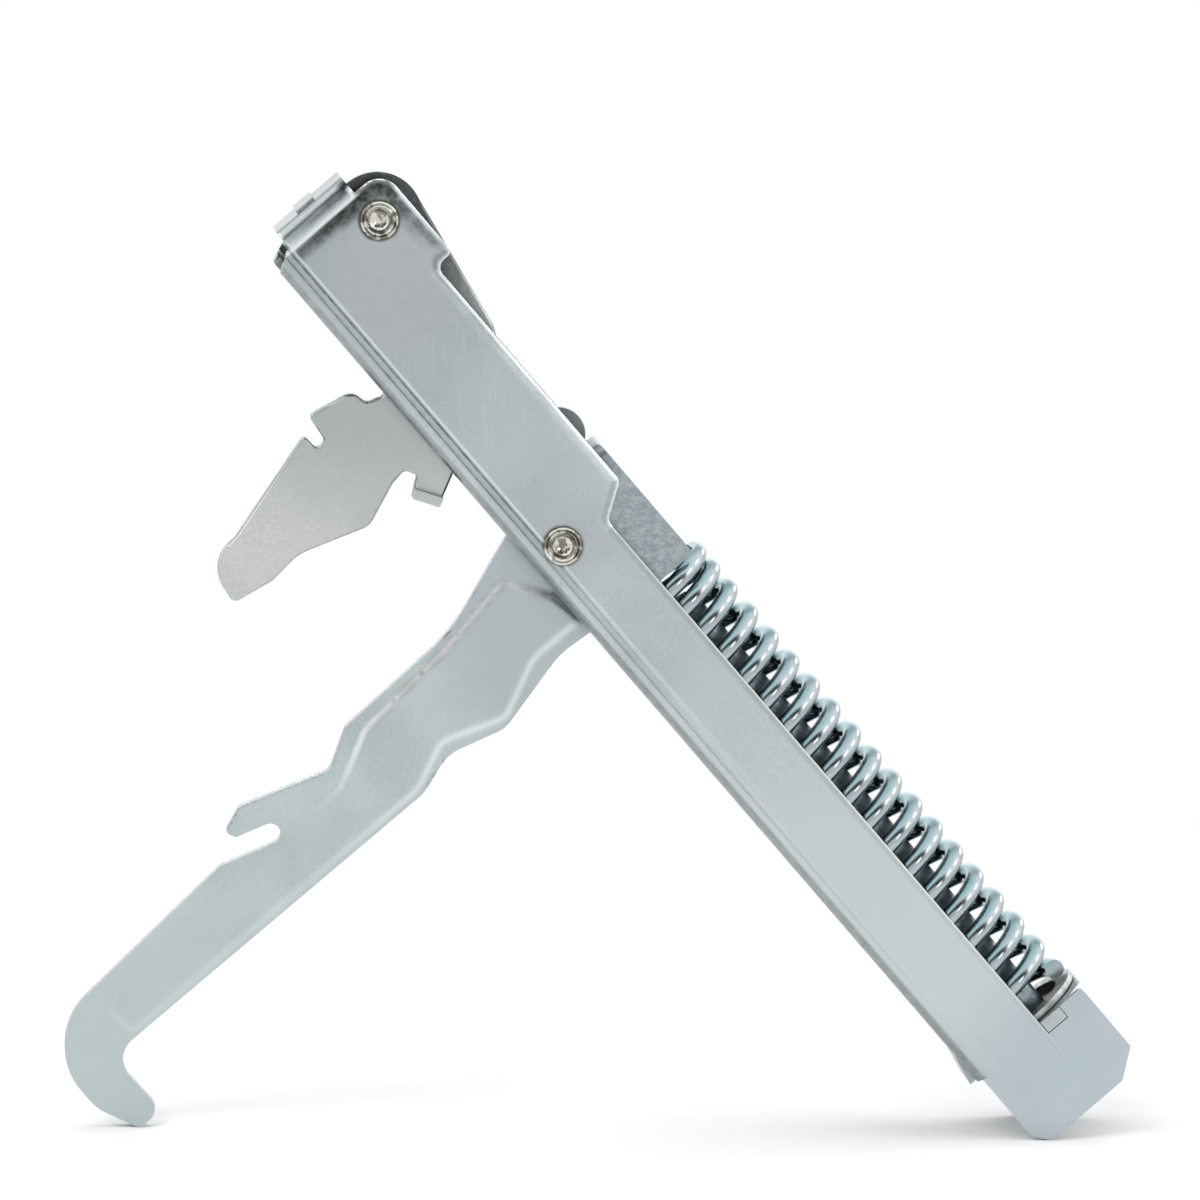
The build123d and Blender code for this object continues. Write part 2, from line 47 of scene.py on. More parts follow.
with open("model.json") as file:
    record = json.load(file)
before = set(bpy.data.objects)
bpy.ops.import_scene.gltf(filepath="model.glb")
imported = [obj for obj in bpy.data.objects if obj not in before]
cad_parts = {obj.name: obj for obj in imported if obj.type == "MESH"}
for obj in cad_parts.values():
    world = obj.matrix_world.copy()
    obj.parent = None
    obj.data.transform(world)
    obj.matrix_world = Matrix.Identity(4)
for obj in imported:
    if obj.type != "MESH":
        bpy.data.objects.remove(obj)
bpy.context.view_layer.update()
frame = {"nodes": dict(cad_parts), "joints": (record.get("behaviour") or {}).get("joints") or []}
joints = {joint["name"]: joint for joint in frame["joints"]}

# The channel's own axes: along it to the spring's end, through it to the far wall, and out of
# its open side. New pieces are modelled in these and then moved to their place.
PIVOT = Vector(joints["door_pivot"]["pos_m"])
STAY_PIVOT = Vector(joints["stay_pivot"]["pos_m"])
ALONG = Vector(joints["slider_slide"]["axis"]).normalized()
THROUGH = Vector((0, 1, 0))
OUT = ALONG.cross(THROUGH)
HINGE = Matrix.Translation(PIVOT) @ Matrix((ALONG, THROUGH, OUT)).transposed().to_4x4()
TILT = math.atan2(-ALONG.z, ALONG.x)

MM = 0.001

# Places in millimetres in the channel's axes: the stay's pivot, and the near wall's outer face
STAY_PLACE = Vector((-64, 12.7))
NEAR_FACE = -12.8


def linear(code, alpha=1.0):
    """An sRGB hex colour as Blender's linear one."""
    parts = [int(code[i:i + 2], 16) / 255 for i in (1, 3, 5)]
    return [p / 12.92 if p <= 0.04045 else ((p + 0.055) / 1.055) ** 2.4 for p in parts] + [alpha]


def hinge_point(u, y, v):
    """A point given in millimetres in the channel's axes, in the frame's metres."""
    return HINGE @ (Vector((u, y, v)) * MM)


def in_hinge(place):
    """A point of the frame in the channel's axes, in millimetres."""
    return (HINGE.inverted() @ place) / MM


def step(value, start, end):
    """0 at start, 1 at end, and smooth between."""
    part = min(1.0, max(0.0, (value - start) / (end - start)))
    return part * part * (3 - 2 * part)


# Finishes

# Plate that has rubbed bright on its neighbours in the box, and the painted highlight on bends and
# edges
RUBBED = linear("#d6dcdb")
POLISHED = linear("#f2f6f5")


def add_node(tree, kind, settings=None, links=None):
    """One node with its settings. A link's value is a number, a colour, or (node, output)."""
    node = tree.nodes.new(kind)
    for name, value in (settings or {}).items():
        setattr(node, name, value)
    for socket, source in (links or {}).items():
        if isinstance(source, tuple) and isinstance(source[0], bpy.types.Node):
            tree.links.new(source[0].outputs[source[1]], node.inputs[socket])
        else:
            node.inputs[socket].default_value = source
    return node


def blank_material(name):
    """A new material and its empty node tree."""
    material = bpy.data.materials.new(name)
    material.use_nodes = True
    tree = material.node_tree
    tree.nodes.clear()
    return material, tree


def finish_with(tree, colour, roughness, bump):
    """The metal's shader and the output, fed by the finish's colour, roughness and relief."""
    shader = add_node(tree, "ShaderNodeBsdfPrincipled", None, {
        "Base Color": colour, "Metallic": 1.0, "Roughness": roughness, "Normal": bump})
    add_node(tree, "ShaderNodeOutputMaterial", None, {"Surface": (shader, "BSDF")})


def spread_from(tree, place, centre, inner, outer):
    """1 within inner of a point, fading to 0 at outer."""
    gap = add_node(tree, "ShaderNodeVectorMath", {"operation": "DISTANCE"}, {
        0: (place, "Object"), 1: tuple(centre)})
    return add_node(tree, "ShaderNodeMapRange", {"interpolation_type": "SMOOTHSTEP"}, {
        "Value": (gap, "Value"), "From Min": inner, "From Max": outer, "To Min": 1.0, "To Max": 0.0})


def patched_colour(tree, place, stains, colour, patches):
    """Lays patches of another tone on a plate, each frayed by the plate's stains."""
    for centre, inner, outer, tone, ragged in patches:
        near = spread_from(tree, place, centre, inner, outer)
        frayed = add_node(tree, "ShaderNodeMath", {"operation": "MULTIPLY_ADD"}, {
            0: (stains, "Fac"), 1: ragged, 2: -ragged / 2})
        film = add_node(tree, "ShaderNodeMath", {"operation": "ADD", "use_clamp": True}, {
            0: (near, "Result"), 1: (frayed, "Value")})
        film = add_node(tree, "ShaderNodeMath", {"operation": "MULTIPLY"}, {
            0: (film, "Value"), 1: (near, "Result")})
        colour = add_node(tree, "ShaderNodeMix", {"data_type": "RGBA"}, {
            "Factor": (film, "Value"), 6: (colour, 2), 7: tone})
    return colour


def rub_marks(tree, place, centre, inner, outer):
    """The fine upright strokes that a part gets from its neighbours in the box, round a point."""
    near = spread_from(tree, place, centre, inner, outer)
    # The strokes are 0.45 mm wide and 5 mm long
    upright = add_node(tree, "ShaderNodeMapping", None, {
        "Vector": (place, "Object"), "Scale": (1, 1, 0.09)})
    strokes = add_node(tree, "ShaderNodeTexNoise", None, {
        "Vector": (upright, "Vector"), "Scale": 1 / (0.45 * MM), "Detail": 1.0})
    stroke = add_node(tree, "ShaderNodeMapRange", None, {
        "Value": (strokes, "Fac"), "From Min": 0.60, "From Max": 0.68})
    mark = add_node(tree, "ShaderNodeMath", {"operation": "MULTIPLY"}, {
        0: (stroke, "Result"), 1: (near, "Result")})
    return add_node(tree, "ShaderNodeMath", {"operation": "MULTIPLY"}, {0: (mark, "Value"), 1: 0.2})


def greased_colour(tree, stains, colour, grime):
    """Lays grease and painted shade where the mesh's attribute is above zero, frayed by the stains,
    and a painted highlight where it is below."""
    amount = add_node(tree, "ShaderNodeAttribute", {"attribute_name": "grime"})
    frayed = add_node(tree, "ShaderNodeMath", {"operation": "MULTIPLY_ADD"}, {
        0: (stains, "Fac"), 1: 1.3, 2: 0.3})
    # Above zero: grease with painted shade
    film = add_node(tree, "ShaderNodeMath", {"operation": "MULTIPLY", "use_clamp": True}, {
        0: (amount, "Fac"), 1: (frayed, "Value")})
    colour = add_node(tree, "ShaderNodeMix", {"data_type": "RGBA"}, {
        "Factor": (film, "Value"), 6: (colour, 2), 7: grime})
    # Below zero: a painted highlight
    polish = add_node(tree, "ShaderNodeMath", {"operation": "MULTIPLY", "use_clamp": True}, {
        0: (amount, "Fac"), 1: -1.0})
    return add_node(tree, "ShaderNodeMix", {"data_type": "RGBA"}, {
        "Factor": (polish, "Value"), 6: (colour, 2), 7: POLISHED})


def bright_zinc_sheet(name, pale, dull, run, rough=(0.26, 0.36), patches=(), rubs=None, grime=None):
    """Bright zinc plate on rolled sheet steel. Zinc mirrors softly and greys in faint clouds two
    centimetres across, and the sheet's rolling lines run along it.
    run is the turn about Y that the rolling lines have. A patch is a point, the radii that it
    fades between, a colour, and how ragged it is: thick bluish plate, a tone of its own, old
    grease, or painted shade with grease. rubs is a point and two radii: there the part has rubbed
    on its neighbours in the box. The last argument is the colour of the grease and painted shade
    that the mesh's attribute of the same name lays down; below zero the attribute says how bright
    a painted highlight on a bend or an edge is."""
    material, tree = blank_material(name)
    place = add_node(tree, "ShaderNodeTexCoord")
    lying = add_node(tree, "ShaderNodeMapping", None, {
        "Vector": (place, "Object"), "Rotation": (0, -run, 0)})
    clouds = add_node(tree, "ShaderNodeTexNoise", None, {
        "Vector": (lying, "Vector"), "Scale": 1 / (22 * MM), "Detail": 3.0, "Roughness": 0.5})
    # Rolling lines are 0.05 mm apart and are drawn seven times as coarse to show
    stretched = add_node(tree, "ShaderNodeMapping", None, {
        "Vector": (lying, "Vector"), "Scale": (0.04, 1, 1)})
    lines = add_node(tree, "ShaderNodeTexNoise", None, {
        "Vector": (stretched, "Vector"), "Scale": 1 / (0.35 * MM), "Detail": 2.0})
    # The plate's crystals are under 0.1 mm across and are drawn at 0.4 mm to show
    crystals = add_node(tree, "ShaderNodeTexNoise", None, {
        "Vector": (lying, "Vector"), "Scale": 1 / (0.4 * MM), "Detail": 2.0})
    # Small dark pits and stains, two millimetres apart
    stains = add_node(tree, "ShaderNodeTexNoise", None, {
        "Vector": (lying, "Vector"), "Scale": 1 / (1.8 * MM), "Detail": 3.0, "Roughness": 0.65})
    cloud_fade = add_node(tree, "ShaderNodeMapRange", {"interpolation_type": "SMOOTHSTEP"}, {
        "Value": (clouds, "Fac"), "From Min": 0.34, "From Max": 0.66})
    colour = add_node(tree, "ShaderNodeMix", {"data_type": "RGBA"}, {
        "Factor": (cloud_fade, "Result"), 6: dull, 7: pale})
    speckle = add_node(tree, "ShaderNodeMapRange", None, {
        "Value": (crystals, "Fac"), "From Min": 0.3, "From Max": 0.7, "To Min": 0.93, "To Max": 1.05})
    stain = add_node(tree, "ShaderNodeMapRange", None, {
        "Value": (stains, "Fac"), "From Min": 0.24, "From Max": 0.34, "To Min": 0.84, "To Max": 1.0})
    shade = add_node(tree, "ShaderNodeMath", {"operation": "MULTIPLY"}, {
        0: (speckle, "Result"), 1: (stain, "Result")})
    colour = add_node(tree, "ShaderNodeMix", {"data_type": "RGBA", "blend_type": "MULTIPLY"}, {
        "Factor": 1.0, 6: (colour, 2), 7: (shade, "Value")})
    line_rough = add_node(tree, "ShaderNodeMapRange", None, {
        "Value": (lines, "Fac"), "From Min": 0.3, "From Max": 0.7, "To Min": 0.0, "To Max": 0.04})
    cloud_rough = add_node(tree, "ShaderNodeMapRange", None, {
        "Value": (clouds, "Fac"), "From Min": 0.3, "From Max": 0.7, "To Min": rough[1],
        "To Max": rough[0]})
    roughness = add_node(tree, "ShaderNodeMath", {"operation": "ADD"}, {
        0: (cloud_rough, "Result"), 1: (line_rough, "Result")})
    colour = patched_colour(tree, place, stains, colour, patches)
    if rubs:
        mark = rub_marks(tree, place, *rubs)
        colour = add_node(tree, "ShaderNodeMix", {"data_type": "RGBA"}, {
            "Factor": (mark, "Value"), 6: (colour, 2), 7: RUBBED})
        roughness = add_node(tree, "ShaderNodeMath", {"operation": "MULTIPLY_ADD"}, {
            0: (mark, "Value"), 1: 0.2, 2: (roughness, "Value")})
    if grime:
        colour = greased_colour(tree, stains, colour, grime)
    relief = add_node(tree, "ShaderNodeMath", {"operation": "ADD"}, {
        0: (lines, "Fac"), 1: (crystals, "Fac")})
    bump = add_node(tree, "ShaderNodeBump", None, {
        "Height": (relief, "Value"), "Strength": 0.1, "Distance": 0.05 * MM})
    finish_with(tree, (colour, 2), (roughness, "Value"), (bump, "Normal"))
    return material


def punched_edge(name, bright, torn):
    """The cut side of a punched sheet: a band that the die burnished, then torn steel whose
    fine ridges run through the thickness, all plated over."""
    material, tree = blank_material(name)
    place = add_node(tree, "ShaderNodeTexCoord")
    stretched = add_node(tree, "ShaderNodeMapping", None, {
        "Vector": (place, "Object"), "Scale": (1, 0.06, 1)})
    # Ridges 0.3 mm apart
    ridges = add_node(tree, "ShaderNodeTexNoise", None, {
        "Vector": (stretched, "Vector"), "Scale": 1 / (0.3 * MM), "Detail": 3.0})
    ridge_fade = add_node(tree, "ShaderNodeMapRange", None, {
        "Value": (ridges, "Fac"), "From Min": 0.35, "From Max": 0.65})
    colour = add_node(tree, "ShaderNodeMix", {"data_type": "RGBA"}, {
        "Factor": (ridge_fade, "Result"), 6: torn, 7: bright})
    roughness = add_node(tree, "ShaderNodeMapRange", None, {
        "Value": (ridges, "Fac"), "From Min": 0.3, "From Max": 0.7, "To Min": 0.5, "To Max": 0.28})
    bump = add_node(tree, "ShaderNodeBump", None, {
        "Height": (ridges, "Fac"), "Strength": 0.25, "Distance": 0.1 * MM})
    finish_with(tree, (colour, 2), (roughness, "Result"), (bump, "Normal"))
    return material


def greased_steel(name, pale, dull, patch):
    """Plated steel that has run against another part: dull, with dark smears of old grease,
    patch millimetres across."""
    material, tree = blank_material(name)
    place = add_node(tree, "ShaderNodeTexCoord")
    lying = add_node(tree, "ShaderNodeMapping", None, {
        "Vector": (place, "Object"), "Rotation": (0, -TILT, 0), "Scale": (0.6, 1, 1)})
    smears = add_node(tree, "ShaderNodeTexNoise", None, {
        "Vector": (lying, "Vector"), "Scale": 1 / (patch * MM), "Detail": 5.0, "Roughness": 0.75,
        "Distortion": 0.3})
    smear_fade = add_node(tree, "ShaderNodeMapRange", {"interpolation_type": "SMOOTHSTEP"}, {
        "Value": (smears, "Fac"), "From Min": 0.38, "From Max": 0.62})
    colour = add_node(tree, "ShaderNodeMix", {"data_type": "RGBA"}, {
        "Factor": (smear_fade, "Result"), 6: dull, 7: pale})
    roughness = add_node(tree, "ShaderNodeMapRange", None, {
        "Value": (smears, "Fac"), "From Min": 0.3, "From Max": 0.7, "To Min": 0.5, "To Max": 0.3})
    bump = add_node(tree, "ShaderNodeBump", None, {
        "Height": (smears, "Fac"), "Strength": 0.15, "Distance": 0.1 * MM})
    finish_with(tree, (colour, 2), (roughness, "Result"), (bump, "Normal"))
    return material


def oiled_spring_wire(name, bright, blue):
    """Drawn spring wire, zinc plated and oiled: nearly a mirror, with painted teal shade on the side of
    each turn that faces the channel's head, patchy as oil, and faint drawing lines."""
    material, tree = blank_material(name)
    place = add_node(tree, "ShaderNodeTexCoord")
    lying = add_node(tree, "ShaderNodeMapping", None, {
        "Vector": (place, "Object"), "Rotation": (0, -TILT, 0)})
    oil = add_node(tree, "ShaderNodeTexNoise", None, {
        "Vector": (lying, "Vector"), "Scale": 1 / (3 * MM), "Detail": 3.0, "Distortion": 0.5})
    # The side of each turn that faces the channel's head, as the mesh's attribute gives, gets painted
    # teal shade, made patchy as oil
    side = add_node(tree, "ShaderNodeAttribute", {"attribute_name": "oil"})
    patchy = add_node(tree, "ShaderNodeMath", {"operation": "MULTIPLY_ADD"}, {
        0: (oil, "Fac"), 1: 0.9, 2: 0.35})
    oil_fade = add_node(tree, "ShaderNodeMath", {"operation": "MULTIPLY", "use_clamp": True}, {
        0: (side, "Fac"), 1: (patchy, "Value")})
    colour = add_node(tree, "ShaderNodeMix", {"data_type": "RGBA"}, {
        "Factor": (oil_fade, "Value"), 6: bright, 7: blue})
    roughness = add_node(tree, "ShaderNodeMapRange", None, {
        "Value": (oil, "Fac"), "From Min": 0.3, "From Max": 0.7, "To Min": 0.2, "To Max": 0.12})
    drawn = add_node(tree, "ShaderNodeTexNoise", None, {
        "Vector": (lying, "Vector"), "Scale": 1 / (0.4 * MM), "Detail": 2.0})
    bump = add_node(tree, "ShaderNodeBump", None, {
        "Height": (drawn, "Fac"), "Strength": 0.05, "Distance": 0.05 * MM})
    finish_with(tree, (colour, 2), (roughness, "Result"), (bump, "Normal"))
    return material


def nickel_rivet(name, bright, brown):
    """Nickel plated rivet steel, rolled over by a turning tool: warm and bright, with brown
    grease left in patches and fine dents in the cup."""
    material, tree = blank_material(name)
    place = add_node(tree, "ShaderNodeTexCoord")
    dents = add_node(tree, "ShaderNodeTexNoise", None, {
        "Vector": (place, "Object"), "Scale": 1 / (1.6 * MM), "Detail": 3.0})
    grease = add_node(tree, "ShaderNodeMapRange", {"interpolation_type": "SMOOTHSTEP"}, {
        "Value": (dents, "Fac"), "From Min": 0.40, "From Max": 0.53})
    colour = add_node(tree, "ShaderNodeMix", {"data_type": "RGBA"}, {
        "Factor": (grease, "Result"), 6: brown, 7: bright})
    roughness = add_node(tree, "ShaderNodeMapRange", None, {
        "Value": (dents, "Fac"), "From Min": 0.3, "From Max": 0.7, "To Min": 0.22, "To Max": 0.10})
    bump = add_node(tree, "ShaderNodeBump", None, {
        "Height": (dents, "Fac"), "Strength": 0.25, "Distance": 0.15 * MM})
    finish_with(tree, (colour, 2), (roughness, "Result"), (bump, "Normal"))
    return material


def pale_paper(name, colour):
    """The matt white paper that the hinge stands on, with the faintest fibre. Past the hinge it
    fades into the white room, so that no horizon shows."""
    material, tree = blank_material(name)
    place = add_node(tree, "ShaderNodeTexCoord")
    fibre = add_node(tree, "ShaderNodeTexNoise", None, {
        "Vector": (place, "Object"), "Scale": 1 / (3 * MM), "Detail": 2.0})
    bump = add_node(tree, "ShaderNodeBump", None, {
        "Height": (fibre, "Fac"), "Strength": 0.02, "Distance": 0.05 * MM})
    paper = add_node(tree, "ShaderNodeBsdfDiffuse", None, {"Color": colour, "Normal": (bump, "Normal")})
    clear = add_node(tree, "ShaderNodeBsdfTransparent")
    near = spread_from(tree, place, (0, 0, 0), 0.17, 0.42)
    mixed = add_node(tree, "ShaderNodeMixShader", None, {
        "Fac": (near, "Result"), 1: (clear, "BSDF"), 2: (paper, "BSDF")})
    add_node(tree, "ShaderNodeOutputMaterial", None, {"Surface": (mixed, "Shader")})
    return material


# Meshes

def placed(mesh_name, bm, materials, body, node):
    """The bmesh as an object of its own that rides on a body and stands for a CAD node."""
    mesh = bpy.data.meshes.new(mesh_name)
    for face in bm.faces:
        face.smooth = True
    bm.to_mesh(mesh)
    bm.free()
    mesh.set_sharp_from_angle(angle=math.radians(40))
    for material in materials:
        mesh.materials.append(material)
    piece = bpy.data.objects.new(mesh_name, mesh)
    bpy.context.scene.collection.objects.link(piece)
    even = piece.modifiers.new("Flat faces stay flat", "WEIGHTED_NORMAL")
    even.keep_sharp = True
    even.weight = 80
    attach(piece, body)
    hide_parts(node)
    return piece


def merged_copy(node):
    """A CAD node's mesh with its loose triangles joined and its flat faces made whole."""
    bm = bmesh.new()
    bm.from_mesh(frame["nodes"][node].data)
    bmesh.ops.remove_doubles(bm, verts=bm.verts, dist=0.002 * MM)
    bmesh.ops.dissolve_limit(bm, angle_limit=math.radians(0.6), verts=bm.verts, edges=bm.edges)
    return bm


def round_edges(bm, edges, width):
    """Breaks sharp edges as tumbling and plating do."""
    bmesh.ops.bevel(
        bm, geom=edges, offset=width, offset_type="OFFSET", affect="EDGES", segments=2,
        profile=0.5, material=-1, clamp_overlap=True)


def sharp_edges(bm, angle=35):
    """The edges whose two faces meet at more than an angle in degrees."""
    return [edge for edge in bm.edges
            if edge.is_manifold and edge.calc_face_angle() > math.radians(angle)]


def mark_cut_sides(bm):
    """Gives the second material to the sides that a die cut: they run through the thickness."""
    for face in bm.faces:
        if abs(face.normal.y) < 0.1:
            face.material_index = 1


def cut_at(bm, axis, places):
    """Cuts the mesh at places, in millimetres from the pivot along an axis of the channel."""
    for place in places:
        bmesh.ops.bisect_plane(
            bm, geom=bm.verts[:] + bm.edges[:] + bm.faces[:], dist=1e-6,
            plane_co=PIVOT + axis * place * MM, plane_no=axis)


def points_along(edge, spacing):
    """Points along an edge, about spacing apart, with both its ends."""
    start, end = (vert.co for vert in edge.verts)
    count = max(1, round((end - start).length / spacing))
    return [start.lerp(end, i / count) for i in range(count + 1)]


def nearest_in(points):
    """A tree that finds the nearest of the points, seen from the hinge's side."""
    tree = kdtree.KDTree(len(points))
    for i, point in enumerate(points):
        tree.insert((point.x, 0, point.z), i)
    tree.balance()
    return tree


def on_head_rim(place):
    """Whether a point, in millimetres in the channel's axes, is on the head's outer rim and not
    on one of its two rivet holes."""
    for hole in (Vector((0, 0)), STAY_PLACE):
        if (Vector((place.x, place.z)) - hole).length < 4.2:
            return False
    return place.z > 4 and place.x < 4


def rim_tree(bm, half):
    """The outer rim of the head's flat walls at y = +-half, as a tree of points."""
    points = []
    for edge in bm.edges:
        ends = [vert.co for vert in edge.verts]
        if any(abs(abs(end.y) - half) > 0.02 * MM for end in ends) or len(edge.link_faces) != 2:
            continue
        if min(abs(face.normal.y) for face in edge.link_faces) > 0.1:
            continue
        points += [point for point in points_along(edge, 0.2 * MM) if on_head_rim(in_hinge(point))]
    return nearest_in(points)


class HingeSizes(bpy.types.PropertyGroup):
    """The sizes that shape the finish, and where the camera stands"""
    edge_round: bpy.props.FloatProperty(
        name="Edge rounding", description="How far the sheet's cut edges are broken",
        default=0.25 * MM, min=0.05 * MM, max=0.6 * MM, unit="LENGTH", precision=5)
    edge_roll: bpy.props.FloatProperty(
        name="Edge roll", description="How wide the die has rounded the head's rim",
        default=2.4 * MM, min=0.4 * MM, max=4 * MM, unit="LENGTH", precision=5)
    edge_drop: bpy.props.FloatProperty(
        name="Edge drop", description="How far the die has pulled the head's rim down",
        default=0.45 * MM, min=0.0, max=0.6 * MM, unit="LENGTH", precision=5)
    panel_slope: bpy.props.FloatProperty(
        name="Panel slope", description="How softly the arm's pressed panel comes up",
        default=0.75 * MM, min=0.2 * MM, max=1.0 * MM, unit="LENGTH", precision=5)
    wire: bpy.props.FloatProperty(
        name="Spring wire", description="Diameter of the spring's wire",
        default=3.4 * MM, min=2 * MM, max=3.8 * MM, unit="LENGTH", precision=5)
    view_turn: bpy.props.FloatProperty(
        name="View turn", description="How far the camera stands to the hinge's left",
        default=math.radians(4.5), subtype="ANGLE")
    view_rise: bpy.props.FloatProperty(
        name="View rise", description="How far the camera looks down",
        default=math.radians(6.5), subtype="ANGLE")
    view_roll: bpy.props.FloatProperty(
        name="View roll", description="How far the camera is tipped sideways",
        default=math.radians(0.97), subtype="ANGLE")


class HingeColours(bpy.types.PropertyGroup):
    """The main tones of the plates, the spring, the rivets and the floor"""
    zinc_pale: bpy.props.FloatVectorProperty(
        name="Zinc, pale", description="Bright zinc plate where it is clean",
        default=linear("#bac1c2"), size=4, subtype="COLOR", min=0, max=1)
    zinc_dull: bpy.props.FloatVectorProperty(
        name="Zinc, dull", description="Bright zinc plate where it has clouded",
        default=linear("#aeb6b8"), size=4, subtype="COLOR", min=0, max=1)
    zinc_blue: bpy.props.FloatVectorProperty(
        name="Zinc, blue", description="Thick zinc plate at the channel's foot",
        default=linear("#b0bbc5"), size=4, subtype="COLOR", min=0, max=1)
    arm_pale: bpy.props.FloatVectorProperty(
        name="Arm, pale", description="The hook arm's plate where it is clean",
        default=linear("#bbc6c6"), size=4, subtype="COLOR", min=0, max=1)
    arm_dull: bpy.props.FloatVectorProperty(
        name="Arm, dull", description="The hook arm's plate where it has clouded",
        default=linear("#b0babb"), size=4, subtype="COLOR", min=0, max=1)
    lever_pale: bpy.props.FloatVectorProperty(
        name="Lever, pale", description="The stay lever's plate, worn a little warmer",
        default=linear("#c9cccb"), size=4, subtype="COLOR", min=0, max=1)
    lever_dull: bpy.props.FloatVectorProperty(
        name="Lever, dull", description="The stay lever's plate where it has clouded",
        default=linear("#bfc3c2"), size=4, subtype="COLOR", min=0, max=1)
    spring_bright: bpy.props.FloatVectorProperty(
        name="Spring, bright", description="The spring's wire where the oil is thin",
        default=linear("#a9b1b5"), size=4, subtype="COLOR", min=0, max=1)
    # The side of each turn that faces the channel's head takes this colour as painted shade
    spring_blue: bpy.props.FloatVectorProperty(
        name="Spring, blue", description="The spring's wire under oil",
        default=linear("#6f939a"), size=4, subtype="COLOR", min=0, max=1)
    nickel: bpy.props.FloatVectorProperty(
        name="Nickel", description="The rivets' warm plate",
        default=linear("#d0cfc8"), size=4, subtype="COLOR", min=0, max=1)
    # Also the painted shade, with some grease, at the stay lever's hub
    grease: bpy.props.FloatVectorProperty(
        name="Grease", description="Old grease round the pivots",
        default=linear("#56595a"), size=4, subtype="COLOR", min=0, max=1)
    paper: bpy.props.FloatVectorProperty(
        name="Floor", description="The floor's colour",
        default=linear("#f4f5f5"), size=4, subtype="COLOR", min=0, max=1)


def wall_grime(place, gap):
    """Painted shade and painted dark reflection, with some old grease, on a wall of the channel, at a
    point in millimetres in the channel's axes that lies gap from the head's rim. Below zero it is a
    painted highlight on a bend or an edge."""
    u, v = place.x, place.z
    # The rolled rim: a painted highlight on the edge with a band of painted dark reflection and some
    # grease behind it, widest by the stay's rivet
    near_stay = 1 - step((Vector((u, v)) - STAY_PLACE).length, 5, 14)
    band = 1.7 + 3.0 * near_stay
    in_band = step(gap, 0.35, 0.8) * (1 - step(gap, 0.45 * band, band))
    film = in_band * (0.55 + 0.4 * near_stay) * (1 - 0.4 * step(u, -45, 0))
    polish = 0.7 * (1 - step(gap, 0.22, 0.4))
    # The bend of the flange at the head's end gets a painted highlight too, with painted shade beside
    # it
    below_head_top = v < 13
    if below_head_top:
        beside_bend = step(u, -69.7, -69.1) * (1 - step(u, -68.3, -66.3))
        film = max(film, 0.95 * beside_bend * step(v, -2.4, -1.4))
        polish = max(polish, step(u, -70.4, -70.1) * (1 - step(u, -69.9, -69.5)))
    # Painted shade lies in the joggle's two creases and thinly between, with a painted highlight
    # beside them. It ends a little past the main rivet.
    fade = 1 - step(u, -12, 22)
    creases = max(1 - abs(v + 2.6) / 0.35, 1 - abs(v + 3.75) / 0.25, 0.0)
    between = 0.25 if -3.8 < v < -2.5 else 0.0
    film = max(film, 0.9 * creases * fade, between * fade)
    polish = max(polish, 0.7 * (1 - abs(v + 1.95) / 0.25) * fade)
    # The whole head a little darker, fading out between 44 and 20 mm short of the main pivot
    film = max(film, 0.13 * (1 - step(u, -44, -20)))
    # The low wall's edge beside the spring: a painted highlight on the edge and painted shade just
    # below it
    along_spring = 2.6 < u < 118 and v < 9
    if along_spring:
        polish = max(polish, step(v, 8.4, 8.75))
        film = max(film, 0.3 * (1 - abs(v - 8.2) / 0.6))
    return film - polish if polish > 0.05 else film


def panel_outline(walls, front):
    """The outline of the arm's raised panel as points 0.04 mm apart, on the panel's face."""
    points = []
    for face in walls:
        for edge in face.edges:
            ends = [vert.co for vert in edge.verts]
            upright = abs(ends[0].x - ends[1].x) + abs(ends[0].z - ends[1].z) < 0.02 * MM
            if not upright and max(end.y for end in ends) < front - 0.005 * MM:
                points += points_along(edge, 0.04 * MM)
    return points


def soften_panel(bm, outline, front, half):
    """Spreads the step round the arm's panel over a slope, half wide on each side of its
    outline, and lays a painted highlight on the slope in the mesh's attribute."""
    tree = nearest_in(outline)
    grime = bm.verts.layers.float.new("grime")
    # The slope needs a mesh half a millimetre fine
    faces = [face for face in bm.faces if face.normal.y < -0.8]
    geom = faces + list(dict.fromkeys(edge for face in faces for edge in face.edges))
    geom += list(dict.fromkeys(vert for face in faces for vert in face.verts))
    for axis in (ALONG, OUT):
        places = [(point - PIVOT).dot(axis) for point in outline]
        place = min(places) - 1.5 * half
        while place < max(places) + 1.5 * half:
            cut = bmesh.ops.bisect_plane(
                bm, geom=geom, dist=0.003 * MM, plane_co=PIVOT + axis * place, plane_no=axis)
            geom = cut["geom"]
            place += 0.5 * MM
    for vert in bm.verts:
        if vert.co.y > front + 0.01 * MM:
            continue
        _, index, gap = tree.find((vert.co.x, 0, vert.co.z))
        if gap >= half:
            continue
        away = step(gap / half, 0, 1)
        height = front - outline[index].y
        on_outline = gap < 0.05 * MM
        on_panel = vert.co.y < front - 0.004 * MM
        if on_outline:
            vert.co.y = front - height / 2
        elif on_panel:
            vert.co.y = front - (front - vert.co.y) * (1 + away) / 2
        else:
            vert.co.y = front - height / 2 * (1 - away)
        # The slope's painted highlight is strongest along the panel's upper side and near the pivot
        upper_side = 1 - 0.6 * step(in_hinge(vert.co).x, 6, 13)
        near_pivot = 1 - 0.7 * step((vert.co - PIVOT).length / MM, 40, 75)
        steep = min(1.0, height / (0.25 * MM))
        vert[grime] = -upper_side * near_pivot * steep * math.sqrt(1 - away)
    bmesh.ops.remove_doubles(bm, verts=bm.verts, dist=0.04 * MM)
    bmesh.ops.dissolve_degenerate(bm, dist=0.005 * MM, edges=bm.edges)


